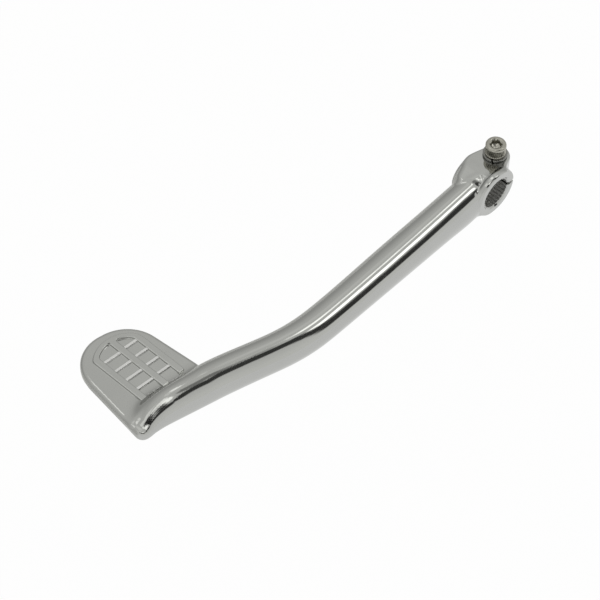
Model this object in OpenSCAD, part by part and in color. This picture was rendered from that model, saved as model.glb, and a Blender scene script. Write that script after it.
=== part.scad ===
// Kick start lever: one forged lever with a serrated clamp boss, its pinch bolt and a lock washer.
// +Z is the way the tread faces, the arm runs along -X and the shaft bore runs along Y.
// The origin is on the bore axis, half way along the bore. Inside the modules, Y counts from the
// collar face where the shaft goes in, and in_frame() moves the finished piece back.

/* [Shaft bore] */
// Diameter inside the tips of the serrations
bore_tip_d = 15.6; // [14:0.1:16]
// Diameter at the roots of the serrations
bore_root_d = 16.8; // [16.4:0.1:17.2]
// Number of serrations
teeth = 30; // [20:1:36]
// Width of each serration groove at its mouth
groove_w = 0.9; // [0.6:0.05:1.0]
// Width of the chamfer at both mouths of the bore
bore_chamfer = 0.6; // [0.3:0.1:0.8]

/* [Clamp boss] */
// Outer diameter of the collar
collar_d = 25; // [24:0.5:27]
// Depth of the collar before its fillet
collar_depth = 3.4; // [2.5:0.1:4.2]
// Radius of the fillet behind the collar
collar_fillet = 2.4; // [1.5:0.1:2.8]
// Length of the bore, from the collar face to the back face
boss_len = 20; // [19:0.2:21]
// Height of the flat top of the boss above the bore axis
boss_top = 10; // [9.8:0.1:10.6]
// Edge radius round the back of the boss
boss_edge = 3; // [2:0.1:3.5]
// Diameter of the lug that takes the bolt
lug_d = 13.6; // [13.4:0.1:16]
// Distance from the bolt axis to the lug's own axis, toward the collar
lug_shift = 0.5; // [0:0.1:0.8]
// Edge radius round the lug
lug_edge = 1; // [0.4:0.1:1]
// Width of the clamp slit
slit_w = 1.8; // [1.2:0.1:2.4]

/* [Pinch bolt] */
// Nominal diameter of the bolt
bolt_d = 6; // [5:0.1:6]
// Distance from the bore axis to the bolt axis
bolt_x = 11.1; // [11.1:0.1:12]
// Distance from the collar face to the bolt axis
bolt_y = 11.4; // [10.5:0.1:12]
// Length of the bolt under its head
bolt_len = 20; // [16:1:22]
// Diameter of the bolt head
head_d = 10; // [9:0.1:10.5]
// Height of the bolt head
head_h = 6; // [5:0.1:6.5]
// Width of the hexagon socket across its flats
socket_af = 5; // [4:0.1:5.5]
// Outer diameter of the lock washer
washer_d = 11.8; // [10:0.1:12]
// Thickness of the lock washer
washer_t = 1.6; // [1:0.1:2]
// Width of the split in the lock washer
washer_split = 0.9; // [0.5:0.1:1.5]

/* [Arm] */
// Height of the arm axis relative to the bore axis
arm_z = -2; // [-3:0.1:-1]
// Distance from the collar face to the straight arm's axis
arm_y = 9.2; // [8.8:0.1:9.8]
// Width of the arm where it leaves the boss
root_w = 18.4; // [17.6:0.1:19]
// Height of the arm where it leaves the boss
root_h = 21.6; // [20:0.1:22]
// Diameter of the arm at the bend
arm_d = 17.4; // [15:0.1:18]
// Distance from the bore axis to the corner of the bend
bend_x = 127; // [115:1:140]
// Angle of the bend
bend_angle = 17.75; // [12:0.25:22]
// Radius of the bend along the arm axis
bend_r = 90; // [50:1:120]
// Distance from the bore axis to the tip of the nose
nose_x = 211.2; // [206:1:218]

/* [Foot pad] */
// Thickness of the pad
pad_t = 5.5; // [5:0.1:6.5]
// Height of the pad's top face relative to the bore axis
pad_top = -3.5; // [-4.5:0.1:-3]
// Radius round the edges of the pad
pad_edge = 1.9; // [1:0.1:2.3]
// Distance from the collar face to the pad's tip
pad_y = 77.8; // [74:0.2:84]
// Width of the pad next to the arm
pad_w = 45.6; // [44:0.2:48]
// Width of the pad near its tip
pad_tip_w = 39.6; // [36:0.2:40]

/* [Tread] */
// Height of the tread frame above the pad
rail_h = 1; // [0.5:0.1:1.4]
// Width of the rails of the tread
rail_w = 3.4; // [2.5:0.1:4]
// Height of the cross ribs above the pad
rib_h = 0.7; // [0.4:0.1:1.4]
// Width of the cross ribs
rib_w = 1.3; // [0.8:0.1:2]
// Distance between the cross ribs
rib_pitch = 6.9; // [6:0.1:7.4]
// Slant of the cross ribs
rib_slant = 5; // [0:1:8]
// Number of cross ribs in each column
rib_count = 4; // [2:1:4]

/* [Hidden] */
$fn = 64;

// Half lengths and radii that follow from the sizes above.
tip_r = bore_tip_d / 2;
root_r = bore_root_d / 2;
collar_r = collar_d / 2;
lug_r = lug_d / 2;
bolt_clear = 0.2;
thread_clear = 0.05;
pad_in = -nose_x + pad_w;
pad_z = pad_top - pad_t;
bend_run = bend_r * tan(bend_angle / 2);
tilt = tan(bend_angle);

// Distance of the arm axis from the collar face: straight, an arc, and straight again.
function axis_y(s) =
    let (d = s - (bend_x - bend_run))
    d <= 0 ? arm_y :
    d <= bend_r * sin(bend_angle) ? arm_y + bend_r - sqrt(bend_r * bend_r - d * d) :
    arm_y + (s - bend_x) * tilt;

// Stations along the arm, by distance from the bore axis. Each row holds: distance, shift of the
// crest toward the collar side, half width on that side, reach of the other side, top, widest
// height, bottom, squareness of the lower edge, and how far the pad's fillet has grown.
half_bent = arm_d / 2 / cos(bend_angle);
top_z = arm_z + arm_d / 2;
low_z = arm_z - arm_d / 2;
STATIONS = [
    [2, 0, root_w / 2 - 0.4, root_w / 2 - 0.4, boss_top - 1.6, arm_z + 1, -boss_top + 0.4, 2.2, 0],
    [14, 0, root_w / 2, root_w / 2, arm_z + root_h / 2, arm_z, arm_z - root_h / 2, 2.3, 0],
    [30, 0, root_w / 2 - 0.1, root_w / 2 - 0.1, arm_z + root_h / 2 - 0.7, arm_z, arm_z - root_h / 2 + 0.7, 2.2, 0],
    [64, 0.2, root_w / 4 + arm_d / 4, root_w / 4 + arm_d / 4 + 0.2, top_z + 0.6, arm_z, low_z - 0.6, 2.1, 0],
    [100, 0.35, arm_d / 2, arm_d / 2, top_z, arm_z, low_z, 2, 0],
    [bend_x, 0.1, arm_d / 2 + 0.1, arm_d / 2 + 0.1, top_z, arm_z, low_z, 2, 0],
    [nose_x - 62, -0.2, half_bent, half_bent, top_z, arm_z, low_z, 2, 0],
    [nose_x - 44, 0, half_bent - 0.1, half_bent + 0.2, top_z, arm_z, low_z, 2.2, 0],
    [nose_x - 37, 0.25, half_bent - 0.1, 12.2, top_z - 0.5, arm_z - 0.3, low_z + 0.3, 2.4, 1],
    [nose_x - 21, 1.4, half_bent - 0.8, 10.5, top_z - 2, arm_z - 1.5, pad_z - 0.6, 3, 1],
    [nose_x - 12, 3.1, 6.8, 9, 1.4, pad_z + 3.8, pad_z - 0.3, 3.2, 1],
    [nose_x - 6, 5.6, 5.2, 6.1, pad_top + 2, pad_z + 3, pad_z, 3.2, 1],
    [nose_x - 1.5, 7.4, 2.7, 2.9, pad_top - 0.6, pad_z + 2.8, pad_z + 0.4, 2.8, 1]
];

// Smooth curve through one column of the stations.
function station(s, i = 0) = i >= len(STATIONS) - 2 || s <= STATIONS[i + 1][0] ? i : station(s, i + 1);
function slope(k, i) =
    i == 0 || i == len(STATIONS) - 1 ? 0 :
    (STATIONS[i + 1][k] - STATIONS[i - 1][k]) / (STATIONS[i + 1][0] - STATIONS[i - 1][0]);
function at(s, k) =
    let (i = station(s), h = STATIONS[i + 1][0] - STATIONS[i][0], t = (s - STATIONS[i][0]) / h)
    STATIONS[i][k] * (1 + t * t * (2 * t - 3)) + slope(k, i) * h * t * (1 - t) * (1 - t)
    + STATIONS[i + 1][k] * t * t * (3 - 2 * t) - slope(k, i + 1) * h * t * t * (1 - t);

// One quarter of a rounded square, from the side (a = 0) to the crest (a = 90).
function bow(v, p) = pow(abs(v), 2 / p);
QUARTER = 10;

// A ring of points round the arm at distance s from the bore axis.
function arm_ring(s) =
    let (
        y = axis_y(s) - at(s, 1), wl = at(s, 2), wr = at(s, 3),
        zt = at(s, 4), zm = at(s, 5), zb = at(s, 6), p = at(s, 7),
        grow = max(0, min(1, at(s, 8))), foot = pad_top - 0.2,
        round_r = min(wr, wl)
    )
    concat(
        [for (i = [0:QUARTER - 1]) let (a = 90 * i / QUARTER)
            [-s, y - wl * bow(cos(a), 2), zm + (zt - zm) * bow(sin(a), 2)]],
        [for (i = [0:QUARTER]) let (a = 90 * i / QUARTER, t = i / QUARTER)
            [-s,
             y + (1 - grow) * round_r * sin(a) + grow * wr * t,
             (1 - grow) * (zm + (zt - zm) * cos(a)) + grow * (foot + (zt - foot) * pow(1 - pow(t, 2.2), 1.6))]],
        [for (i = [1:QUARTER]) let (a = 90 * i / QUARTER, t = i / QUARTER)
            [-s,
             y + (1 - grow) * round_r * bow(cos(a), p) + grow * wr * (1 - t),
             (1 - grow) * (zm + (zb - zm) * bow(sin(a), p)) + grow * (foot + (zb - foot) * min(1, 3 * t))]],
        [for (i = [1:QUARTER - 1]) let (a = 90 - 90 * i / QUARTER)
            [-s, y - wl * bow(cos(a), p), zm + (zb - zm) * bow(sin(a), p)]]
    );

// Stations close together where the form turns, and wide apart along the straight.
STEPS = concat(
    [2, 8],
    [for (s = [14:8:bend_x - bend_run]) s],
    [for (s = [bend_x - bend_run + 3:4:nose_x - 54]) s],
    [for (s = [nose_x - 52:2:nose_x - 12]) s],
    [for (s = [nose_x - 10.5:1.5:nose_x - 1.5]) s]
);

// A closed skin over rings that all have the same number of points.
module skin(rings) {
    n = len(rings[0]);
    m = len(rings);
    polyhedron(
        points = [for (ring = rings) each ring],
        faces = concat(
            [[for (k = [0:n - 1]) k]],
            [for (j = [0:m - 2]) for (k = [0:n - 1]) let (k2 = (k + 1) % n)
                each [[j * n + k, (j + 1) * n + k, (j + 1) * n + k2], [j * n + k, (j + 1) * n + k2, j * n + k2]]],
            [[for (k = [n - 1:-1:0]) (m - 1) * n + k]]
        ),
        convexity = 6
    );
}

// The pad's outline is the tight wrap of four discs: nose, inner root, tip, and the tip's outer corner.
pad_r = pad_tip_w / 2;
tip_c = [pad_in - 2 - pad_r, pad_y - pad_r];
DISCS = [
    [-nose_x + 3.8, axis_y(nose_x) - 8.6, 3.8],
    [pad_in - 10, axis_y(-pad_in) + 14, 10],
    [tip_c[0], tip_c[1], pad_r],
    [tip_c[0] - 0.08 * pad_r, tip_c[1] + 0.13 * pad_r, 0.89 * pad_r]
];

// Point of the outline that faces direction a, set in from the edge by d.
function reach(i, a) = DISCS[i][0] * cos(a) + DISCS[i][1] * sin(a) + DISCS[i][2];
function farthest(a) = [for (i = [0:3]) if (reach(i, a) >= max([for (j = [0:3]) reach(j, a)])) i][0];
function edge_point(a, d) =
    let (i = farthest(a))
    [DISCS[i][0] + (DISCS[i][2] - d) * cos(a), DISCS[i][1] + (DISCS[i][2] - d) * sin(a)];
function pad_ring(d, z) = [for (a = [0:5:355]) let (e = edge_point(a, d)) [e[0], e[1], z]];

module pad() {
    e = pad_edge;
    skin(concat(
        [for (b = [90:-15:0]) pad_ring(e - e * cos(b), pad_z + e - e * sin(b))],
        [for (b = [0:15:90]) pad_ring(e - e * cos(b), pad_top - e + e * sin(b))]
    ));
}

// Tread: a raised frame with an arched head, a middle rail and two columns of cross ribs.
tread_x0 = -nose_x + 13.4;
tread_x1 = pad_in - 6.6;
tread_y0 = tip_c[1] - 21.9;
arch_r = pad_r - 3.7;
arch_c = [tip_c[0] + 0.9, tip_c[1] - 0.9];
tread_w = tread_x1 - tread_x0;
cell_a = 0.57 * (tread_w - 3 * rail_w);
cell_b = tread_w - 3 * rail_w - cell_a;

module arch(r, x0, x1, y0) {
    intersection() {
        translate([x0, y0]) square([x1 - x0, 60]);
        union() {
            translate(arch_c) circle(r, $fn = 96);
            translate([arch_c[0] - r, y0]) square([2 * r, arch_c[1] - y0]);
        }
    }
}

module tread() {
    root = 0.5;
    translate([0, 0, pad_top - root]) {
        linear_extrude(rail_h + root) difference() {
            arch(arch_r, tread_x0, tread_x1, tread_y0);
            arch(arch_r - 2.6, tread_x0 + rail_w, tread_x0 + rail_w + cell_a, tread_y0 - 1);
            arch(arch_r - 2.6, tread_x1 - rail_w - cell_b, tread_x1 - rail_w, tread_y0 - 1);
        }
        for (k = [0:rib_count - 1]) {
            y = tread_y0 + 6.9 + k * rib_pitch;
            translate([tread_x0 + rail_w - 0.5, y, 0]) rotate(-rib_slant)
                cube([cell_a + 1, rib_w, rib_h + root]);
            translate([tread_x1 - rail_w - cell_b - 0.5, y - 0.5, 0]) rotate(-rib_slant)
                cube([cell_b + 1, rib_w, rib_h + root]);
        }
    }
}

// A disc that stands on z = 0 both ways, with round edges of radius e.
module puck(r, h, e) {
    rotate_extrude($fn = 40) polygon(concat(
        [[0, -h]],
        [for (b = [-90:22.5:0]) [r - e + e * cos(b), -h + e + e * sin(b)]],
        [for (b = [0:22.5:90]) [r - e + e * cos(b), h - e + e * sin(b)]],
        [[0, h]]
    ));
}

// The block behind the collar, with the bolt lug, as one cast form.
module boss_block() {
    hull() {
        translate([bolt_x, bolt_y - lug_shift, 0]) puck(lug_r, boss_top, lug_edge);
        translate([0.5, boss_len - 9.2, 0]) puck(10, boss_top, boss_edge);
        translate([-9.6, boss_len - 8.4, 0]) puck(5.4, boss_top - 0.4, boss_edge);
    }
}

// The hub behind the block: a short cone that ends in the flat back face.
module hub() {
    edge = 0.8;
    back_r = root_r + 1.3;
    intersection() {
        along_bore() rotate_extrude($fn = 96) polygon(concat(
            [[0, collar_depth], [back_r + 0.7, collar_depth]],
            [for (b = [0:22.5:90]) [back_r - edge + edge * cos(b), boss_len - edge + edge * sin(b)]],
            [[0, boss_len]]
        ));
        translate([-20, 0, -boss_top + 0.1]) cube([40, boss_len + 1, 2 * boss_top - 0.2]);
    }
}

// Turns a shape that stands along +Z to lie along +Y.
module along_bore() {
    rotate([-90, 0, 0]) children();
}

module collar() {
    edge = 0.8;
    f = collar_fillet;
    along_bore() rotate_extrude($fn = 96) polygon(concat(
        [[0, 0]],
        [for (b = [0:22.5:90]) [collar_r - edge + edge * sin(b), edge - edge * cos(b)]],
        [for (b = [0:22.5:67.5]) [collar_r - edge + edge * cos(b), collar_depth - edge + edge * sin(b)]],
        [for (b = [0:15:90]) [collar_r - edge - f * sin(b), collar_depth + f - f * cos(b)]],
        [[0, collar_depth + f]]
    ));
}

// Bore with serrations along its length and a chamfer at both mouths.
module bore() {
    over = 1;
    mouth = root_r + bore_chamfer;
    along_bore() translate([0, 0, -over]) cylinder(h = boss_len + 2 * over, r = tip_r, $fn = 96);
    along_bore() translate([0, 0, -over]) linear_extrude(boss_len + 2 * over) serrations();
    along_bore() translate([0, 0, -over]) cylinder(h = over + bore_chamfer, r1 = mouth + over, r2 = mouth - bore_chamfer, $fn = 96);
    along_bore() translate([0, 0, boss_len - bore_chamfer])
        cylinder(h = over + bore_chamfer, r1 = mouth - bore_chamfer, r2 = mouth + over, $fn = 96);
}

module serrations() {
    inner = tip_r - 0.3;
    for (k = [0:teeth - 1]) {
        rotate(360 * (k + 0.5) / teeth)
            polygon([[inner, -groove_w / 2], [root_r, -groove_w / 8], [root_r, groove_w / 8], [inner, groove_w / 2]]);
    }
}

module slit() {
    translate([0, -2, -slit_w / 2]) cube([bolt_x + lug_d, boss_len + 4, slit_w]);
}

module bolt_hole() {
    translate([bolt_x, bolt_y, 0]) {
        cylinder(h = boss_top + 2, d = bolt_d + 2 * bolt_clear, $fn = 48);
        translate([0, 0, -boss_top - 2]) cylinder(h = boss_top + 3, d = bolt_d + 2 * thread_clear, $fn = 48);
    }
}

// Moves a piece from the collar face to the middle of the bore.
module in_frame() {
    translate([0, -boss_len / 2, 0]) children();
}

module lever() {
    color("silver") in_frame() difference() {
        union() {
            skin([for (s = STEPS) arm_ring(s)]);
            pad();
            tread();
            boss_block();
            hub();
            collar();
        }
        bore();
        slit();
        bolt_hole();
    }
}

module pinch_bolt() {
    top = boss_top + washer_t + head_h;
    under = boss_top + washer_t;
    bevel = 0.6;
    color("gray") in_frame() translate([bolt_x, bolt_y, 0]) difference() {
        rotate_extrude($fn = 96) polygon([
            [0, under - bolt_len],
            [bolt_d / 2 - bevel, under - bolt_len],
            [bolt_d / 2, under - bolt_len + bevel],
            [bolt_d / 2, under],
            [head_d / 2, under],
            [head_d / 2, top - bevel],
            [head_d / 2 - bevel, top],
            [0, top]
        ]);
        translate([0, 0, top - head_h / 2]) rotate(-18)
            cylinder(h = head_h, d = socket_af / cos(30), $fn = 6);
    }
}

module lock_washer() {
    color("dimgray") in_frame() translate([bolt_x, bolt_y, boss_top]) difference() {
        cylinder(h = washer_t, d = washer_d, $fn = 96);
        translate([0, 0, -1]) cylinder(h = washer_t + 2, d = bolt_d + 0.3, $fn = 96);
        rotate(-152) translate([0, 0, washer_t / 2]) rotate([25, 0, 0])
            translate([0, -washer_split / 2, -washer_t * 2]) cube([washer_d, washer_split, washer_t * 4]);
    }
}

lever();
pinch_bolt();
lock_washer();
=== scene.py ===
import math

import bpy
import bmesh
import numpy as np
from mathutils import Matrix, Vector


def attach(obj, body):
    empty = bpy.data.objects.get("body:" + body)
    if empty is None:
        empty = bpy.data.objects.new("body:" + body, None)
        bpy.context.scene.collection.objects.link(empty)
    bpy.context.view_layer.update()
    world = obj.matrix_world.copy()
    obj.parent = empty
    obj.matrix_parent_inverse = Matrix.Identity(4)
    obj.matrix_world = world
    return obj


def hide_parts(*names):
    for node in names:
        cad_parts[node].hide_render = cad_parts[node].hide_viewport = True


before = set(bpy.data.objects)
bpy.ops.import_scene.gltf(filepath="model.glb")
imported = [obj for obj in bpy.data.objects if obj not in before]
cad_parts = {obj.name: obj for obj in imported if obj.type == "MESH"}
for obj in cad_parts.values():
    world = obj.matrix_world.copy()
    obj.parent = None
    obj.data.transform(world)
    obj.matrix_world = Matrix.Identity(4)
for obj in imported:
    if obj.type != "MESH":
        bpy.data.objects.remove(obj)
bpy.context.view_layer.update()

# Lengths are in millimetres until a mesh is written; MM turns them into metres.
MM = 0.001

# ---------------------------------------------------------------- form of the lever
# The lever is one casting, so its skin is the zero level of one smooth distance function: arm,
# boss, hub, collar and pad, joined with the fillets of a forged part. The tread is then added, and
# the bore, slit and bolt holes are cut, as exact solids.
FACE, BACK = -10.0, 10.0                    # collar face and back face of the boss, along Y
TIP_R, ROOT_R, MOUTH = 7.8, 8.4, 0.6        # bore: tips and roots of its teeth, mouth chamfer
TEETH, GROOVE = 30, 0.9
COLLAR_R, COLLAR_T, COLLAR_EDGE = 12.5, 3.4, 1.2
HUB_R, HUB_FLARE, HUB_TOP, HUB_EDGE = 9.7, 0.7, 9.8, 0.8
BOSS_TOP = 10.0
BOLT_X, BOLT_Y = 11.1, 1.4
CLEAR_R, TAP_R, HOLE_DEPTH = 3.2, 3.05, 12.0
SLIT = 1.8
NOSE_X, PAD_W = 211.2, 45.6
PAD_IN = -NOSE_X + PAD_W
PAD_TOP, PAD_T, PAD_EDGE = -3.5, 5.5, 1.9
TIP_C, TIP_PAD_R = (-187.4, 48.0), 19.8
ARM_Y = 9.2                                 # the arm's axis behind the collar face
BEND_X, BEND_R, BEND_A = 127.0, 90.0, math.radians(17.75)
END_CUT, END_ROUND = 2.4, 6.0               # the arm's rounded end, short of the pad's nose
ROOT_X = -0.5                               # the arm starts inside the boss
CRISP = 0.6                                 # blend where the forging keeps its edge
BOSS_ZONE, PAD_ZONE = -32.0, -145.0         # X beyond which the boss and the pad play no part

# Plans of the boss and of the pad: discs of (centre, radius), wrapped tightly in pairs.
LUG, MIDDLE, TAIL = ((BOLT_X, BOLT_Y - 0.5), 6.8), ((0.5, 0.8), 10.0), ((-11.0, 3.6), 3.7)
BOSS_PLAN = ((LUG, MIDDLE), (MIDDLE, TAIL), (LUG, TAIL))
NOSE, ROOT = ((-NOSE_X + 3.8, 17.55), 3.8), ((PAD_IN - 10, 25.56), 10.0)
TIP, CORNER = (TIP_C, TIP_PAD_R), ((TIP_C[0] - 1.6, TIP_C[1] + 2.6), 17.6)
PAD_PLAN = ((NOSE, ROOT), (ROOT, TIP), (TIP, CORNER), (CORNER, NOSE), (NOSE, TIP))

# Tread: a raised frame under an arch, with two cells, and slanted cross bars in both.
RAIL_H, RAIL_W, RAIL_EDGE = 1.0, 3.4, 0.45
RIB_H, RIB_W, RIB_PITCH, RIB_EDGE = 0.7, 1.6, 6.9, 0.3
RIB_SLANT, RIBS = math.radians(-5), 4
TREAD_X0, TREAD_X1 = -NOSE_X + 13.4, PAD_IN - 6.6
TREAD_Y0 = TIP_C[1] - 21.9
ARCH_C, ARCH_R = (TIP_C[0] + 0.9, TIP_C[1] - 0.9), TIP_PAD_R - 3.7
INNER_ARCH_R = ARCH_R - 2.6
CELLS_W = TREAD_X1 - TREAD_X0 - 3 * RAIL_W
CELL_A, CELL_B = 0.57 * CELLS_W, 0.43 * CELLS_W
# left edge and width of each cell, and how much lower its bars lie
CELLS = ((TREAD_X0 + RAIL_W, CELL_A, 0.0), (TREAD_X1 - RAIL_W - CELL_B, CELL_B, 0.5))

# Sections of the arm: distance along it, crest shift, half width toward the collar side, half
# width of the other side, top, widest height, bottom, squareness of the lower edge.
ROWS = np.array([
    (2.0, 0.0, 8.8, 8.8, 9.6, -1.0, -9.6, 2.2),
    (14.0, 0.0, 9.2, 9.2, 9.2, -2.0, -12.8, 2.3),
    (30.0, 0.0, 9.1, 9.1, 8.3, -2.0, -12.1, 2.2),
    (64.0, 0.2, 8.95, 9.15, 7.3, -2.0, -11.3, 2.1),
    (100.0, 0.35, 8.7, 8.7, 6.7, -2.0, -10.7, 2.0),
    (127.0, 0.1, 8.8, 8.8, 6.7, -2.0, -10.7, 2.0),
    (149.2, -0.2, 9.13, 9.13, 6.7, -2.0, -10.7, 2.0),
    (167.2, 0.0, 9.03, 9.33, 6.7, -2.0, -10.7, 2.2),
    (174.2, 0.25, 9.03, 8.3, 6.2, -2.3, -10.4, 2.4),
    (190.2, 1.4, 8.33, 7.65, 4.7, -3.5, -9.6, 3.0),
    (199.2, 3.1, 6.8, 7.4, 1.4, -5.2, -9.3, 3.2),
    (205.2, 5.6, 5.2, 6.1, -1.5, -6.0, -9.0, 3.2),
    (209.7, 7.4, 2.7, 3.4, -4.1, -6.2, -8.6, 2.8),
    (213.0, 8.6, 1.0, 1.4, -5.6, -6.6, -8.0, 2.6),
])
STEP = 0.05
LINE = np.arange(-4.0, 216.0, STEP)


def smin(a, b, k):
    h = np.maximum(k - np.abs(a - b), 0.0) / k
    return np.minimum(a, b) - h * h * h * k / 6.0


def smax(a, b, k):
    return -smin(-a, -b, k)


def ease(lo, hi, v):
    t = np.clip((v - lo) / (hi - lo), 0.0, 1.0)
    return t * t * (3 - 2 * t)


def hermite_table():
    """The rows joined by smooth curves, then eased so that the reflections run without kinks."""
    s, v = ROWS[:, 0], ROWS[:, 1:]
    slope = np.zeros_like(v)
    slope[1:-1] = (v[2:] - v[:-2]) / (s[2:] - s[:-2])[:, None]
    slope[-1] = (v[-1] - v[-2]) / (s[-1] - s[-2])
    i = np.clip(np.searchsorted(s, LINE) - 1, 0, len(s) - 2)
    h = (s[i + 1] - s[i])[:, None]
    t = np.clip((LINE - s[i])[:, None] / h, 0, 1)
    out = (v[i] * (1 + t * t * (2 * t - 3)) + slope[i] * h * t * (1 - t) ** 2
           + v[i + 1] * t * t * (3 - 2 * t) - slope[i + 1] * h * t * t * (1 - t))
    run = BEND_R * math.tan(BEND_A / 2)
    d = LINE - (BEND_X - run)
    axis = np.where(d <= 0, ARM_Y, np.where(
        d <= BEND_R * math.sin(BEND_A),
        ARM_Y + BEND_R - np.sqrt(np.maximum(BEND_R ** 2 - d * d, 1)),
        ARM_Y + (LINE - BEND_X) * math.tan(BEND_A)))
    table = np.column_stack([axis + FACE - out[:, 0], out[:, 1:]])

    def eased(sigma):
        n = int(3.5 * sigma / STEP)
        k = np.exp(-0.5 * (np.arange(-n, n + 1) * STEP / sigma) ** 2)
        k /= k.sum()
        # a straight run past both ends keeps the ends in place
        first = table[0] + (table[1] - table[0]) * np.arange(-n, 0)[:, None]
        last = table[-1] + (table[-1] - table[-2]) * np.arange(1, n + 1)[:, None]
        wide = np.vstack([first, table, last])
        return np.column_stack([np.convolve(column, k, "valid") for column in wide.T])

    # soft along the shaft, finer where the arm tapers on the pad
    w = ease(155.0, 180.0, LINE)[:, None]
    return eased(5.0) * (1 - w) + eased(1.6) * w


TABLE = hermite_table()


def curve(s, column):
    return np.interp(s, LINE, TABLE[:, column])


def rounded(side, cap, e):
    """Distance to a form with a side and a cap, which meet in an edge of radius e."""
    a, b = side + e, cap + e
    outer = np.hypot(np.maximum(a, 0.0), np.maximum(b, 0.0))
    return np.minimum(np.maximum(a, b), 0.0) + outer - e


def capsule(x, y, c1, r1, c2, r2):
    """Plan distance to the tight wrap of two discs."""
    dx, dy = c2[0] - c1[0], c2[1] - c1[1]
    length = math.hypot(dx, dy)
    ux, uy = dx / length, dy / length
    px = np.abs(-(x - c1[0]) * uy + (y - c1[1]) * ux)
    py = (x - c1[0]) * ux + (y - c1[1]) * uy
    b = (r1 - r2) / length
    a = math.sqrt(1 - b * b)
    k = a * py - b * px
    return np.where(k < 0, np.hypot(px, py) - r1,
                    np.where(k > a * length, np.hypot(px, py - length) - r2, a * px + b * py - r1))


def wrapped(x, y, pairs):
    """Plan distance to the union of the tight wraps of pairs of discs."""
    return np.minimum.reduce([capsule(x, y, *a, *b) for a, b in pairs])


def arm(x, y, z, ends=True):
    """Distance to the lofted arm, whose sections are ellipses with a squarer lower half."""
    s = -x
    cy, wl, wr, zt, zm, zb, p = (curve(s, j) for j in range(7))
    dy, dz = y - cy, z - zm
    w = np.where(dy < 0, wl, wr)
    h = np.where(dz > 0, zt - zm, zm - zb)
    p = np.where(dz > 0, 2.0, p)
    a, b = np.abs(dy) / w, np.abs(dz) / h
    q = (a ** p + b ** p + 1e-9) ** (1 / p)
    ga, gb = (a / q) ** (p - 1) / w, (b / q) ** (p - 1) / h
    d = (q - 1) / np.sqrt(ga * ga + gb * gb)
    return smax(np.maximum(d, x - ROOT_X), s - NOSE_X + END_CUT, END_ROUND) if ends else d


def block(x, y, z):
    """Distance to the flat-topped block of the boss, with its lug and its tail."""
    edge = 1.0 + 2.4 * ease(6.0, -6.0, x)
    top = BOSS_TOP - 0.5 * ease(-3.0, -14.0, x)
    d = rounded(wrapped(x, y, BOSS_PLAN), np.abs(z) - top, edge)
    # tail and front stay within the arm's shoulders, so that the arm runs into the flat top
    room = 0.45 + 9.0 * ease(-14.0, -2.0, x) * ease(-3.0, 5.0, y) + 10.0 * ease(-4.0, 3.0, x)
    return np.where(z > 0, smax(d, arm(x, y, z, False) - room, 1.2), d)


def hub(x, y, z):
    rho = np.hypot(x, z)
    r = HUB_R + HUB_FLARE * (BACK - y) / (BACK - FACE - COLLAR_T)
    d = rounded(rho - r, y - BACK, HUB_EDGE)
    d = np.maximum(d, FACE + 0.6 - y)
    return smax(d, np.abs(z) - HUB_TOP, 1.2)


def collar(x, y, z):
    rho = np.hypot(x, z)
    return rounded(rho - COLLAR_R, np.abs(y - FACE - COLLAR_T / 2) - COLLAR_T / 2, COLLAR_EDGE)


def pad(x, y, z):
    mid = PAD_TOP - PAD_T / 2
    return rounded(wrapped(x, y, PAD_PLAN), np.abs(z - mid) - PAD_T / 2, PAD_EDGE)


def lever_form(x, y, z):
    """Distance to the lever's skin, before its tread, bore, slit and bolt holes."""
    body = arm(x, y, z)
    if np.max(x) > BOSS_ZONE:
        # the arm runs up into the block, softly over the crest and crisply at the sides
        k = CRISP + 0.8 * ease(5.5, 8.0, z) * ease(-1.5, -7.0, x)
        body = smin(body, smin(block(x, y, z), hub(x, y, z), CRISP), k)
        # the collar's fillet is wide above, below and round the front, and narrow along the arm
        k = 1.0 + 3.2 * np.maximum(ease(4.0, 8.0, np.abs(z)), ease(-4.0, 2.0, x))
        body = smin(body, collar(x, y, z), k)
    if np.min(x) < PAD_ZONE:
        # a wide fillet only on the pad's side of the crest, and a soft end at the nose
        side = ease(-1.0, 5.0, y - curve(-x, 0))
        k = CRISP + 6.4 * side * ease(-8.5, -5.5, z) + 1.8 * side * ease(-6.5, -9.0, z)
        k = np.maximum(k, 3.6 * ease(-201.0, -207.0, x))
        body = smin(body, pad(x, y, z), k)
    return np.maximum(body, FACE - y)


def lever_slope(v, h=0.02):
    """Gradient of the form at each point."""
    g = np.empty_like(v)
    for j in range(3):
        step = np.zeros(3)
        step[j] = h
        a, b = v + step, v - step
        g[:, j] = (lever_form(*a.T) - lever_form(*b.T)) / (2 * h)
    return g


# ---------------------------------------------------------------- skin of the form
def axis_points(*runs):
    """Grid lines from runs of (start, end, step)."""
    out = []
    for lo, hi, step in runs:
        out.extend(np.linspace(lo, hi, max(2, int(round((hi - lo) / step)) + 1)))
    return np.unique(np.round(out, 5))


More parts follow.
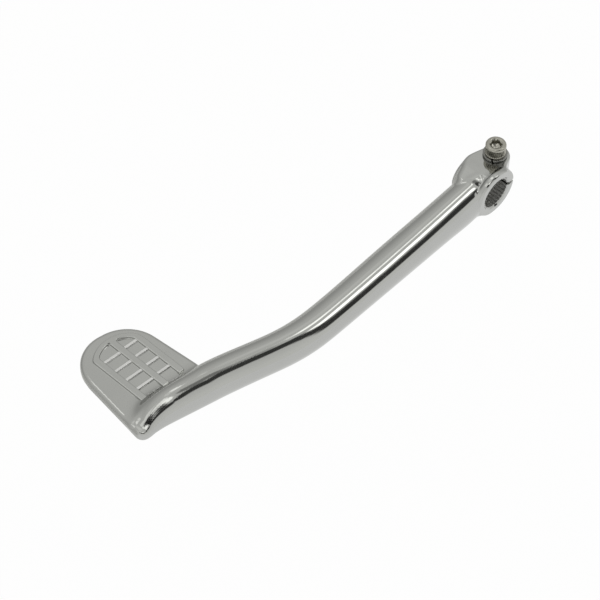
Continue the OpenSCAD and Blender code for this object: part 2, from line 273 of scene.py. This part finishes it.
def surface_net(f, xs, ys, zs):
    """Quads along the zero level of f on a grid, with one vertex in each cell that it crosses."""
    axes = (xs, ys, zs)
    inside = f < 0
    count = np.zeros(tuple(n - 1 for n in f.shape), np.int8)
    corners = [(a, b, c) for a in (0, 1) for b in (0, 1) for c in (0, 1)]
    for a, b, c in corners:
        count += inside[a:f.shape[0] - 1 + a, b:f.shape[1] - 1 + b, c:f.shape[2] - 1 + c]
    active = (count > 0) & (count < 8)
    index = np.full(active.shape, -1, np.int64)
    cells = np.argwhere(active)
    index[active] = np.arange(len(cells))
    total = np.zeros((len(cells), 3))
    hits = np.zeros(len(cells))
    for a in corners:
        for axis in range(3):
            if a[axis]:
                continue
            b = list(a)
            b[axis] = 1
            ca, cb = cells + a, cells + b
            fa, fb = f[tuple(ca.T)], f[tuple(cb.T)]
            m = (fa < 0) != (fb < 0)
            t = fa[m] / (fa[m] - fb[m])
            for j in range(3):
                pa, pb = axes[j][ca[m, j]], axes[j][cb[m, j]]
                total[m, j] += pa + (pb - pa) * t
            hits[m] += 1
    verts = total / hits[:, None]
    quads = []
    for axis in range(3):
        lo = [slice(None)] * 3
        hi = [slice(None)] * 3
        lo[axis], hi[axis] = slice(None, -1), slice(1, None)
        a, b = inside[tuple(lo)], inside[tuple(hi)]
        u, v = (axis + 1) % 3, (axis + 2) % 3
        for out_first, m in ((False, a & ~b), (True, ~a & b)):
            n = np.argwhere(m)
            ring = []
            for du, dv in ((-1, -1), (0, -1), (0, 0), (-1, 0)):
                c = n.copy()
                c[:, u] += du
                c[:, v] += dv
                ring.append(index[tuple(c.T)])
            q = np.stack(ring, 1)
            quads.append(q[:, ::-1] if out_first else q)
    return verts, np.vstack(quads)


def lever_skin():
    """The form as quads, on a grid that is fine at the pad and the boss, drawn onto its surface."""
    xs = axis_points((-212.4, -160.0, 0.4), (-160.0, -146.0, 0.6), (-146.0, -22.0, 1.1),
                     (-22.0, 19.2, 0.45))
    ys = axis_points((-11.0, -3.0, 0.4), (-3.0, 25.0, 0.5), (25.0, 69.4, 0.4))
    zs = axis_points((-13.8, 13.8, 0.5))
    f = np.empty((len(xs), len(ys), len(zs)))
    slab = 24
    for i in range(0, len(xs), slab):
        f[i:i + slab] = lever_form(xs[i:i + slab, None, None], ys[None, :, None], zs[None, None, :])
    f[np.abs(f) < 1e-6] = 1e-6
    verts, quads = surface_net(f, xs, ys, zs)
    for _ in range(3):
        g = lever_slope(verts)
        d = lever_form(*verts.T)
        move = (d / np.maximum((g * g).sum(1), 0.25))[:, None] * g
        verts -= np.clip(move, -0.3, 0.3)
    return verts, quads


def new_object(name, mesh):
    ob = bpy.data.objects.new(name, mesh)
    bpy.context.scene.collection.objects.link(ob)
    return ob


def mesh_of(name, verts, faces):
    mesh = bpy.data.meshes.new(name)
    mesh.from_pydata((np.asarray(verts) * MM).tolist(), [], [list(map(int, q)) for q in faces])
    mesh.update()
    return mesh


def prism(name, ring, y0, y1):
    """A ring of (x, z) points drawn out along Y."""
    n = len(ring)
    verts = [(x, y0, z) for x, z in ring] + [(x, y1, z) for x, z in ring]
    faces = [list(range(n)), list(range(2 * n - 1, n - 1, -1))]
    faces += [[i, n + i, n + (i + 1) % n, (i + 1) % n] for i in range(n)]
    return new_object(name, mesh_of(name, verts, faces))


def lathe(name, profile, n, centre, axis="z"):
    """A profile of (radius, height) pairs turned round an axis; both ends lie on the axis."""
    verts, faces = [], []
    rings = []
    for r, h in profile:
        if r == 0:
            rings.append([len(verts)])
            verts.append((0.0, 0.0, h))
        else:
            rings.append(list(range(len(verts), len(verts) + n)))
            turns = [2 * math.pi * k / n for k in range(n)]
            verts += [(r * math.cos(a), r * math.sin(a), h) for a in turns]
    for a, b in zip(rings, rings[1:]):
        for k in range(n):
            k2 = (k + 1) % n
            if len(a) == 1:
                faces.append([a[0], b[k2], b[k]])
            elif len(b) == 1:
                faces.append([a[k], a[k2], b[0]])
            else:
                faces.append([a[k], a[k2], b[k2], b[k]])
    v = np.array(verts)
    if axis == "y":
        v = np.column_stack([v[:, 0], v[:, 2], -v[:, 1]])
    return new_object(name, mesh_of(name, v + np.array(centre), faces))


def ring_mesh(name, rings):
    """Closed skin over rings of points that all have the same count."""
    n = len(rings[0])
    verts = np.vstack(rings)
    faces = []
    for j in range(len(rings) - 1):
        for k in range(n):
            k2 = (k + 1) % n
            faces.append([j * n + k, j * n + k2, (j + 1) * n + k2, (j + 1) * n + k])
    faces.append(list(range(n))[::-1])
    faces.append([(len(rings) - 1) * n + k for k in range(n)])
    return mesh_of(name, verts, faces)


def outward(ob):
    """Turns the faces of a closed mesh outward."""
    bm = bmesh.new()
    bm.from_mesh(ob.data)
    if bm.calc_volume(signed=True) < 0:
        bmesh.ops.reverse_faces(bm, faces=bm.faces)
    bm.to_mesh(ob.data)
    bm.free()


def cut(target, tool, operation="DIFFERENCE"):
    """Cuts the tool from the target, or adds it with UNION, and deletes the tool."""
    outward(tool)
    m = target.modifiers.new("cut", "BOOLEAN")
    m.operation = operation
    m.solver = "MANIFOLD"
    m.object = tool
    bpy.context.view_layer.update()
    graph = bpy.context.evaluated_depsgraph_get()
    done = bpy.data.meshes.new_from_object(target.evaluated_get(graph))
    target.modifiers.clear()
    old = target.data
    target.data = done
    bpy.data.meshes.remove(old)
    tool_mesh = tool.data
    bpy.data.objects.remove(tool)
    bpy.data.meshes.remove(tool_mesh)


def serration_ring():
    """Outline of the serrated bore in the plane across it, one land and one groove at a time."""
    ring = []
    half = math.asin(GROOVE / 2 / TIP_R)
    for k in range(TEETH):
        a = 2 * math.pi * (k + 0.5) / TEETH
        for t in np.linspace(-math.pi / TEETH, -half, 4):
            ring.append((TIP_R * math.cos(a + t), TIP_R * math.sin(a + t)))
        for t in (-0.3, -0.12, 0.12, 0.3):
            r = ROOT_R if abs(t) < 0.2 else (TIP_R + ROOT_R) / 2 + 0.08
            ring.append((r * math.cos(a + t * half), r * math.sin(a + t * half)))
        for t in np.linspace(half, math.pi / TEETH, 4)[:-1]:
            ring.append((TIP_R * math.cos(a + t), TIP_R * math.sin(a + t)))
    return ring[::-1]


def gradient(field, p, h=0.01):
    fx = (field(p[:, 0] + h, p[:, 1]) - field(p[:, 0] - h, p[:, 1])) / (2 * h)
    fy = (field(p[:, 0], p[:, 1] + h) - field(p[:, 0], p[:, 1] - h)) / (2 * h)
    return np.column_stack([fx, fy])


def contour(field, centre, count):
    """Evenly spaced points round the zero level of a plan distance, seen whole from its centre."""
    a = np.linspace(0, 2 * math.pi, 2000, endpoint=False)
    way = np.column_stack([np.cos(a), np.sin(a)])
    lo, hi = np.zeros(len(a)), np.full(len(a), 60.0)
    for _ in range(40):
        mid = (lo + hi) / 2
        p = centre + way * mid[:, None]
        inside = field(p[:, 0], p[:, 1]) < 0
        lo, hi = np.where(inside, mid, lo), np.where(inside, hi, mid)
    p = centre + way * lo[:, None]
    p = np.vstack([p, p[:1]])
    run = np.concatenate([[0], np.cumsum(np.hypot(*np.diff(p, axis=0).T))])
    at = np.linspace(0, run[-1], count, endpoint=False)
    return np.column_stack([np.interp(at, run, p[:, 0]), np.interp(at, run, p[:, 1])])


def swept(name, field, base, profile):
    """Solid whose outline at each height of the profile stands off the zero level of the field."""
    rings = []
    p = base.copy()
    for offset, z in profile:
        for _ in range(4):
            g = gradient(field, p)
            miss = offset - field(p[:, 0], p[:, 1])
            p = p + g * (miss / np.maximum((g * g).sum(1), 0.2))[:, None]
        rings.append(np.column_stack([p, np.full(len(p), z)]))
    return new_object(name, ring_mesh(name, rings))


# Foot fillet of a rail or bar on the pad: stand-off and height above the pad.
FOOT = ((0.50, -0.03), (0.30, 0.0), (0.14, 0.06), (0.04, 0.17), (0.0, 0.32))


def side_of(height, radius, root):
    """Side of a rail or bar: sunk root, foot fillet and rounded top edge, as (stand-off, z)."""
    turns = [math.radians(a) for a in (0, 18, 36, 54, 72, 90)]
    brow = [(-radius * (1 - math.cos(a)), height - radius * (1 - math.sin(a))) for a in turns]
    return [(v, PAD_TOP + h) for v, h in [(FOOT[0][0], -root), *FOOT, *brow]]


def arch(x, y, r, x0, x1, y0, k):
    d = np.hypot(x - ARCH_C[0], np.maximum(y - ARCH_C[1], 0.0)) - r
    d = smax(d, np.maximum(x0 - x, x - x1), k)
    return smax(d, y0 - y, k)


def cell_plan(x, y, x0, width):
    return arch(x, y, INNER_ARCH_R, x0, x0 + width, TREAD_Y0 - 4, 1.4)


def build_tread():
    """The raised frame with its two cells, and the cross bars in each cell."""
    def outer(x, y):
        return arch(x, y, ARCH_R, TREAD_X0, TREAD_X1, TREAD_Y0, 1.6)

    middle = np.array([(TREAD_X0 + TREAD_X1) / 2, ARCH_C[1]])
    frame_ob = swept("tread", outer, contour(outer, middle, 260),
                     side_of(RAIL_H, RAIL_EDGE, 1.5))
    past = RAIL_EDGE + 0.3          # how far a cell's tool stands out over the rounded top edge
    wall = [(-v, z) for v, z in side_of(RAIL_H, RAIL_EDGE, 2.5)]
    wall += [(past, PAD_TOP + RAIL_H + 0.04), (past, PAD_TOP + RAIL_H + 1)]
    for x0, width, _ in CELLS:
        def cell(x, y, x0=x0, width=width):
            return cell_plan(x, y, x0, width)
        middle = np.array([x0 + width / 2, ARCH_C[1] - 4])
        cut(frame_ob, swept("tool_cell", cell, contour(cell, middle, 220), wall))

    half = [(-v, z) for v, z in side_of(RIB_H, RIB_EDGE, 1.3)]
    section = half + [(RIB_W - v, z) for v, z in half[::-1]]
    n, lap = len(section), 0.5      # the bars run into the rails by lap
    c, s = math.cos(RIB_SLANT), math.sin(RIB_SLANT)
    verts, faces = [], []
    for x0, width, drop in CELLS:
        for k in range(RIBS):
            y0 = TREAD_Y0 + RIB_PITCH * (k + 1) - drop
            a = len(verts)
            b = a + n
            for u in (-lap, width + lap):
                verts += [(x0 + u * c - v * s, y0 + u * s + v * c, z) for v, z in section]
            faces += [[a + i for i in range(n)], [b + i for i in range(n)][::-1]]
            faces += [[a + i, b + i, b + (i + 1) % n, a + (i + 1) % n] for i in range(n)]
    cut(frame_ob, new_object("ribs", mesh_of("ribs", verts, faces)), "UNION")
    return frame_ob


def build_lever():
    verts, quads = lever_skin()
    ob = new_object("kick_lever", mesh_of("kick_lever", verts, quads))
    cut(ob, build_tread(), "UNION")
    over = 2.0                      # how far a tool stands out of the lever
    cut(ob, prism("tool_bore", serration_ring(), FACE - over, BACK + over))
    # a chamfer of 45 degrees at both mouths of the bore, from a cone that stands out by rise
    rise = 1.5
    cone = [(0, -rise), (ROOT_R + MOUTH + rise, -rise), (ROOT_R, MOUTH),
            (TIP_R - 0.1, MOUTH), (0, MOUTH)]
    for y, way in ((FACE, 1), (BACK, -1)):
        profile = [(r, way * h) for r, h in cone]
        cut(ob, lathe("tool_mouth", profile, 128, (0, y, 0), "y"))
    x1, z1 = BOLT_X + 14, SLIT / 2
    slot = [(0, z1), (x1, z1), (x1, -z1), (0, -z1)]
    cut(ob, prism("tool_slit", slot, FACE - over, BACK + over))
    for r, z0, z1 in ((CLEAR_R, 0, HOLE_DEPTH), (TAP_R, -HOLE_DEPTH, 0.3)):
        profile = [(0, z0), (r, z0), (r, z1), (0, z1)]
        cut(ob, lathe("tool_hole", profile, 64, (BOLT_X, BOLT_Y, 0)))
    return ob


lever = build_lever()


# ---------------------------------------------------------------- shading normals
ON_SKIN, SKIN_CREASE = 0.04, 0.78           # nearness to the form, cosine to its normal
OFF_SKIN, TREAD_CREASE = 0.004, 0.8         # the same for the tread's own faces
TREAD_ZONE = -150.0                         # X beyond which a face may be the tread's


def read(seq, name, n, width=1, kind=np.float64):
    """One property of all vertices, faces or corners as an array."""
    out = np.empty(n * width, kind)
    seq.foreach_get(name, out)
    return out.reshape(n, width) if width > 1 else out


def dress_lever(ob, skin, bore, bar_highlight):
    """Gives the skin the form's own normals and the cut faces theirs, and sets the materials."""
    mesh = ob.data
    mesh.materials.clear()
    for m in (skin, bore, bar_highlight):
        mesh.materials.append(m)
    co = read(mesh.vertices, "co", len(mesh.vertices), 3) / MM
    face = read(mesh.polygons, "normal", len(mesh.polygons), 3)
    mid = read(mesh.polygons, "center", len(mesh.polygons), 3) / MM
    area = read(mesh.polygons, "area", len(mesh.polygons))
    size = read(mesh.polygons, "loop_total", len(mesh.polygons), 1, np.int32)
    corner = read(mesh.loops, "vertex_index", len(mesh.loops), 1, np.int32)
    owner = np.repeat(np.arange(len(size)), size)
    body = lever_slope(co)
    body /= np.maximum(np.linalg.norm(body, axis=1), 1e-6)[:, None]
    near = np.abs(lever_form(*co.T)) < ON_SKIN
    out = face[owner].copy()
    smooth = near[corner] & ((out * body[corner]).sum(1) > SKIN_CREASE)
    out[smooth] = body[corner][smooth]
    # the chamfers at both mouths are true cones
    rho, depth = np.hypot(mid[:, 0], mid[:, 2]), np.abs(mid[:, 1])
    tilt = np.abs(face[:, 1])
    cone = (depth > BACK - MOUTH - 0.1) & (rho < ROOT_R + MOUTH + 0.2)
    cone &= (tilt > 0.3) & (tilt < 0.95)
    k = cone[owner] & ~smooth
    p = co[corner][k]
    r = np.hypot(p[:, 0], p[:, 2])[:, None]
    ny = face[owner][k][:, 1:2]
    side = np.sqrt(np.maximum(1 - ny * ny, 0))
    out[k] = np.concatenate([-p[:, 0:1] / r * side, ny, -p[:, 2:3] / r * side], 1)
    # the bolt's holes are true cylinders
    away = np.hypot(mid[:, 0] - BOLT_X, mid[:, 1] - BOLT_Y)
    hole = (away < CLEAR_R + 0.2) & (np.abs(face[:, 2]) < 0.1)
    k = hole[owner] & ~smooth
    p = co[corner][k] - np.array([BOLT_X, BOLT_Y, 0])
    r = np.hypot(p[:, 0], p[:, 1])[:, None]
    out[k] = np.concatenate([-p[:, 0:1] / r, -p[:, 1:2] / r, 0 * r], 1)
    # the tread's faces share their normals where they meet at less than a crease
    tread = (mid[:, 0] < TREAD_ZONE) & (mid[:, 2] > PAD_TOP - 0.1)
    tread &= np.abs(lever_form(*mid.T)) > OFF_SKIN
    chosen = np.nonzero(tread[owner])[0]
    order = chosen[np.argsort(corner[chosen], kind="stable")]
    for group in np.split(order, np.nonzero(np.diff(corner[order]))[0] + 1):
        fn = face[owner[group]]
        weight = (fn @ fn.T > TREAD_CREASE) * area[owner[group]][None, :]
        total = weight @ fn
        out[group] = total / np.maximum(np.linalg.norm(total, axis=1), 1e-12)[:, None]
    inner = ((rho < ROOT_R + 0.05) & (depth < BACK - 0.4) & ~cone) | hole
    # the cross bars' tops get a brighter chrome than the pad around them, a painted highlight
    in_cell = np.zeros(len(size), bool)
    for x0, width, _ in CELLS:
        in_cell |= cell_plan(mid[:, 0], mid[:, 1], x0, width) < -0.5
    painted_highlight_bars = tread & in_cell & (mid[:, 2] > PAD_TOP + 0.1)
    mesh.polygons.foreach_set("material_index", (inner + 2 * painted_highlight_bars).astype(np.int32))
    mesh.polygons.foreach_set("use_smooth", np.ones(len(size), bool))
    mesh.normals_split_custom_set(out.tolist())
    mesh.update()


# ---------------------------------------------------------------- materials
WHITE = (1, 1, 1, 1)


def material(name):
    m = bpy.data.materials.new(name)
    m.use_nodes = True
    m.node_tree.nodes.clear()
    return m, m.node_tree


def node(tree, kind, inputs=(), **settings):
    """A node with its settings; each input given is linked to an output or set to a value."""
    n = tree.nodes.new(kind)
    for key, value in settings.items():
        setattr(n, key, value)
    for key, value in dict(inputs).items():
        if isinstance(value, bpy.types.NodeSocket):
            tree.links.new(value, n.inputs[key])
        else:
            n.inputs[key].default_value = value
    return n


def ramp(tree, value, a, b, to_a, to_b, kind="SMOOTHSTEP"):
    """A value between a and b mapped to one between to_a and to_b."""
    n = node(tree, "ShaderNodeMapRange", {"Value": value, "From Min": a, "From Max": b,
                                          "To Min": to_a, "To Max": to_b}, interpolation_type=kind)
    return n.outputs["Result"]


def calc(tree, operation, a, b):
    return node(tree, "ShaderNodeMath", {0: a, 1: b}, operation=operation).outputs[0]


def metal(name, colour, low, rough, ripple, grain, scale, fine_scale):
    """Polished or plated metal: tone, gloss and relief vary with noise at the real scale."""
    m, tree = material(name)
    where = node(tree, "ShaderNodeTexCoord").outputs["Object"]

    def noise(scale, detail, roughness):
        n = node(tree, "ShaderNodeTexNoise", {"Vector": where, "Scale": scale, "Detail": detail,
                                              "Roughness": roughness})
        return n.outputs["Fac"]

    def bump(height, distance, **before):
        n = node(tree, "ShaderNodeBump", {"Strength": 1.0, "Distance": distance,
                                          "Height": height, **before})
        return n.outputs["Normal"]

    tone = node(tree, "ShaderNodeMix", {0: noise(scale, 4.0, 0.55), 7: (*colour, 1),
                                        6: (*[c * low for c in colour], 1)}, data_type="RGBA")
    gloss = ramp(tree, noise(scale * 3.1, 5.0, 0.6), 0.3, 0.7, *rough, kind="LINEAR")
    waves = bump(noise(scale * 1.7, 1.5, 0.4), ripple)
    pores = bump(noise(fine_scale, 3.0, 0.6), grain, Normal=waves)
    shader = node(tree, "ShaderNodeBsdfPrincipled", {"Metallic": 1.0, "Normal": pores,
                                                     "Base Color": tone.outputs[2],
                                                     "Roughness": gloss})
    node(tree, "ShaderNodeOutputMaterial", {"Surface": shader.outputs["BSDF"]})
    return m


# Colour, share of it left in the darkest tone, roughness from and to, height of the waves and of
# the grain in metres, and how many of each there are along a metre.
chrome = metal("polished_chrome", (0.465, 0.47, 0.455), 0.93, (0.06, 0.12), 6e-5, 1.2e-6, 55, 1400)
bore_steel = metal("bored_steel", (0.60, 0.60, 0.585), 0.8, (0.42, 0.55), 1e-5, 1e-6, 120, 2600)
# a brighter chrome for the cross bars' tops: a painted highlight
bar_highlight_chrome = metal("painted_highlight_chrome", (0.78, 0.78, 0.77), 0.8, (0.10, 0.22), 1e-5, 1e-6, 180, 2600)
bolt_steel = metal("plated_bolt", (0.44, 0.43, 0.38), 0.75, (0.12, 0.24), 1e-5, 3e-6, 160, 3200)
# the washer's dark tone is partly its own and partly painted shade, so that the contact line under
# its rim reads black
washer_steel = metal("sprung_washer", (0.28, 0.28, 0.265), 0.75, (0.16, 0.3), 1e-5, 3e-6, 200, 3200)

dress_lever(lever, chrome, bore_steel, bar_highlight_chrome)
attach(lever, "root")
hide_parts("lever")


# ---------------------------------------------------------------- pinch bolt and lock washer
HEAD_D, HEAD_H, HEAD_TURN, KNURLS = 10.0, 6.0, math.radians(-18), 32
SOCKET_AF, BOLT_LEN, BOLT_D, PITCH = 5.0, 20.0, 6.0, 1.0
WASHER_IN_R, WASHER_D, WASHER_T = 3.15, 11.8, 1.6
SPLIT, SPLIT_AT, SPLIT_LEAN = 0.9, math.radians(-152), math.tan(math.radians(25))


def smooth_by_angle(ob, degrees):
    ob.data.shade_smooth()
    ob.data.set_sharp_from_angle(angle=math.radians(degrees))


def build_bolt():
    """Socket head cap screw, as rings from its tip up over the head and down into the socket."""
    n = 192
    a = 2 * math.pi * np.arange(n) / n
    under = BOSS_TOP + WASHER_T
    tip, top, head_r = under - BOLT_LEN, under + HEAD_H, HEAD_D / 2
    sixth = math.pi / 3
    hexagon = (SOCKET_AF / 2) / np.cos((a - HEAD_TURN + sixth / 2) % sixth - sixth / 2)

    def ring(r, z):
        return np.column_stack([BOLT_X + r * np.cos(a), BOLT_Y + r * np.sin(a), np.full(n, z)])

    def knurl(depth):
        return head_r - depth * (0.5 - 0.5 * np.cos(KNURLS * a)) ** 0.8

    # thread: a ridge that climbs one pitch a turn, and tapers in at the tip
    rings = [ring(1.9, tip)]
    for z in np.arange(tip + 0.12, under - 0.4, 0.125):
        phase = ((z - tip) / PITCH - a / (2 * math.pi)) % 1.0
        ridge = np.clip(np.abs(phase - 0.5) * 2.6 - 0.25, 0, 1)
        end = min(1.0, (z - tip) / 0.8)
        rings.append(ring((BOLT_D / 2 - 0.02 - 0.55 * ridge) * (0.84 + 0.16 * end), z))
    # neck, bearing face and rounded rim
    for r, z in ((2.96, -0.3), (2.98, 0.0), (head_r - 0.75, 0.0), (head_r - 0.45, 0.06),
                 (head_r - 0.22, 0.25)):
        rings.append(ring(r, under + z))
    # knurled side, and the rounded edge above it
    for depth, z in ((0.02, 0.5), (0.2, 0.62), (0.42, 0.8), (0.42, 1.6), (0.42, 2.6), (0.42, 3.6),
                     (0.42, 4.5), (0.2, 4.68), (0.02, 4.8)):
        rings.append(ring(knurl(depth) - 0.02, under + z))
    for r, z in ((4.98, 4.98), (4.94, 5.3), (4.78, 5.6), (4.5, 5.85), (4.2, 5.97), (3.9, 6.0),
                 (3.45, 6.0)):
        rings.append(ring(r, under + z))
    # socket: a small countersink, six flats, and a drilled bottom
    for r, z in ((3.2, 0.04), (3.0, 0.2), (hexagon, 0.5), (hexagon, 2.8),
                 (np.minimum(hexagon, 2.45), 2.95), (1.4, 3.35), (0.3, 3.75)):
        rings.append(ring(r, top - z))
    ob = new_object("bolt", ring_mesh("bolt", rings))
    smooth_by_angle(ob, 32)
    ob.data.materials.append(bolt_steel)
    return ob


def build_washer():
    """Split spring washer: a rounded section led round from one slanted end to the other."""
    steps, edge, low_edge = 150, 0.3, 0.8
    r0, r1, z0, z1 = WASHER_IN_R, WASHER_D / 2, BOSS_TOP, BOSS_TOP + WASHER_T
    section = []
    for r, z, e, start in ((r1 - low_edge, z0 + low_edge, low_edge, -90),
                           (r1 - edge, z1 - edge, edge, 0),
                           (r0 + edge, z1 - edge, edge, 90),
                           (r0 + edge, z0 + edge, edge, 180)):
        for turn in (0, 22.5, 45, 67.5, 90):
            b = math.radians(start + turn)
            section.append((r + e * math.cos(b), z + e * math.sin(b)))
    rings = []
    for k in range(steps + 1):
        pts = []
        for r, z in section:
            # the two ends of the spring are cut on the slant
            half = (SPLIT / 2) / r
            shift = -(z - (z0 + z1) / 2) * SPLIT_LEAN / r
            lo, hi = SPLIT_AT + half + shift, SPLIT_AT + 2 * math.pi - half + shift
            b = lo + (hi - lo) * (k / steps)
            pts.append((BOLT_X + r * math.cos(b), BOLT_Y + r * math.sin(b), z))
        rings.append(np.array(pts))
    ob = new_object("washer", ring_mesh("washer", rings))
    smooth_by_angle(ob, 40)
    ob.data.materials.append(washer_steel)
    return ob


for piece, name, slot in ((build_bolt(), "pinch_bolt", "bolt_steel"),
                          (build_washer(), "lock_washer", "washer_steel")):
    outward(piece)
    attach(piece, "root")
    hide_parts(name)


# ---------------------------------------------------------------- camera
CAM_TURN = (-47.84, 51.91, 1.02)            # azimuth, elevation and roll, in degrees
CAM_AT = (-0.6289, -0.4559, 0.8930)         # in metres
LENS, SENSOR = 150.0, 36.0


def place_camera():
    """The photo's viewpoint, fitted to the screw's head, the collar and the arm."""
    az, el, roll = (math.radians(v) for v in CAM_TURN)
    back = Vector((math.sin(az) * math.cos(el), -math.cos(az) * math.cos(el), math.sin(el)))
    level = Vector((math.cos(az), math.sin(az), 0))
    rise = back.cross(level)
    right = math.cos(roll) * level + math.sin(roll) * rise
    up = math.cos(roll) * rise - math.sin(roll) * level
    data = bpy.data.cameras.new("camera")
    data.lens, data.sensor_width, data.sensor_fit = LENS, SENSOR, "HORIZONTAL"
    data.clip_start, data.clip_end = 0.05, 20.0
    cam = new_object("camera", data)
    m = Matrix((right, up, back)).transposed().to_4x4()
    m.translation = Vector(CAM_AT)
    cam.matrix_world = m
    bpy.context.scene.camera = cam


place_camera()


# ---------------------------------------------------------------- studio
# Soft boxes and dark gaps of the tent: azimuth, elevation, inner and outer radius in degrees,
# brightness. A later one lies over the earlier ones.
STUDIO_SPOTS = (
    (-40, 80, 5, 10, 0.3),
    (33, 57, 4, 10, 0.90),
    (70, 64, 4, 8, 1.6),
    (95, 67, 5, 9, 1.0),
    (140, 54, 5, 9, 1.2),
    (155, 70, 5, 9, 1.5),
    (-158, 72, 8, 11.5, 1.8),
    (-41, 51, 4, 8, 2.9),
    (-47, 56, 3, 6, 2.6),
    (-4, 65.5, 2.5, 5.5, 2.2),
    (-58, 26, 6.5, 11, 0.05),
    (-60, 37, 5, 9, 0.06),
    (-61, 47, 5, 9, 0.06),
    (-62, 57, 5.5, 9.5, 0.06),
    (-63, 65, 6.5, 11, 0.06),
    (-84, 62, 7, 11, 0.06),
    (-102, 56, 6, 10, 0.06),
    (-122, 48, 6, 10, 0.05),
    (-144, 54, 6, 9.5, 0.02),
    (-162, 60, 6, 9.5, 0.04),
    (174, 60, 5.5, 9, 0.04),
)
WALL, CEILING = (0.95, 0.50), 0.80         # brightness of the near and far wall, and above
TINT = (1.0, 1.0, 0.975)
FLOOR_SIZE, FLOOR_Z, FLOOR_GLOW = 3.0, -0.09, 0.97      # metres, metres, share of white


def direction(az, el):
    a, e = math.radians(az), math.radians(el)
    return (math.cos(a) * math.cos(e), math.sin(a) * math.cos(e), math.sin(e))


def build_world():
    """A light tent round the part, which the camera sees as plain white."""
    world = bpy.data.worlds.new("studio")
    bpy.context.scene.world = world
    world.use_nodes = True
    tree = world.node_tree
    tree.nodes.clear()
    way = node(tree, "ShaderNodeTexCoord").outputs["Generated"]

    def dot(v):
        n = node(tree, "ShaderNodeVectorMath", {0: way, 1: v}, operation="DOT_PRODUCT")
        return n.outputs["Value"]

    def toward(base, target, factor):
        n = node(tree, "ShaderNodeMix", {0: factor, 2: base, 3: target}, data_type="FLOAT")
        return n.outputs[0]

    # the walls are a pale grey that falls off toward the far side
    level = ramp(tree, dot((0.35, 0.94, 0.0)), -0.6, 0.9, *WALL)
    level = toward(level, CEILING, ramp(tree, dot((0, 0, 1)), 0.1, 0.95, 0.0, 1.0))
    for az, el, inner, outer, target in STUDIO_SPOTS:
        edge, core = math.cos(math.radians(outer)), math.cos(math.radians(inner))
        level = toward(level, target, ramp(tree, dot(direction(az, el)), edge, core, 0, 1))
    tint = node(tree, "ShaderNodeCombineColor",
                {j: calc(tree, "MULTIPLY", level, k) for j, k in enumerate(TINT)})
    studio = node(tree, "ShaderNodeBackground", {"Color": tint.outputs[0]})
    seen = node(tree, "ShaderNodeBackground", {"Color": WHITE})
    path = node(tree, "ShaderNodeLightPath")
    mix = node(tree, "ShaderNodeMixShader", {0: path.outputs["Is Camera Ray"],
                                             1: studio.outputs[0], 2: seen.outputs[0]})
    node(tree, "ShaderNodeOutputWorld", {"Surface": mix.outputs[0]})


def build_floor():
    """Paper that is white to the camera; the glow that polished metal sees of it falls off toward
    the far side, a painted shade.
    """
    m, tree = material("floor_paper")
    path = node(tree, "ShaderNodeLightPath")
    place = node(tree, "ShaderNodeNewGeometry").outputs["Position"]
    y = node(tree, "ShaderNodeSeparateXYZ", {0: place}).outputs["Y"]
    # painted shade: the floor's glow as seen in the metal falls off toward the far side
    fall = ramp(tree, y, 0.0, 0.12, 1.0, 0.1)
    glossy = calc(tree, "MULTIPLY", path.outputs["Is Glossy Ray"], fall)
    both = calc(tree, "MAXIMUM", path.outputs["Is Camera Ray"], glossy)
    paper = node(tree, "ShaderNodeBsdfDiffuse", {"Color": (0.86, 0.86, 0.85, 1)})
    glow = node(tree, "ShaderNodeEmission", {"Color": WHITE})
    mix = node(tree, "ShaderNodeMixShader", {0: calc(tree, "MULTIPLY", both, FLOOR_GLOW),
                                             1: paper.outputs[0], 2: glow.outputs[0]})
    node(tree, "ShaderNodeOutputMaterial", {"Surface": mix.outputs[0]})
    s, z = FLOOR_SIZE, FLOOR_Z
    mesh = bpy.data.meshes.new("floor")
    mesh.from_pydata([(-s, -s, z), (s, -s, z), (s, s, z), (-s, s, z)], [], [[0, 1, 2, 3]])
    mesh.materials.append(m)
    floor = new_object("floor", mesh)


build_world()
build_floor()
bpy.context.scene.view_settings.view_transform = "Standard"
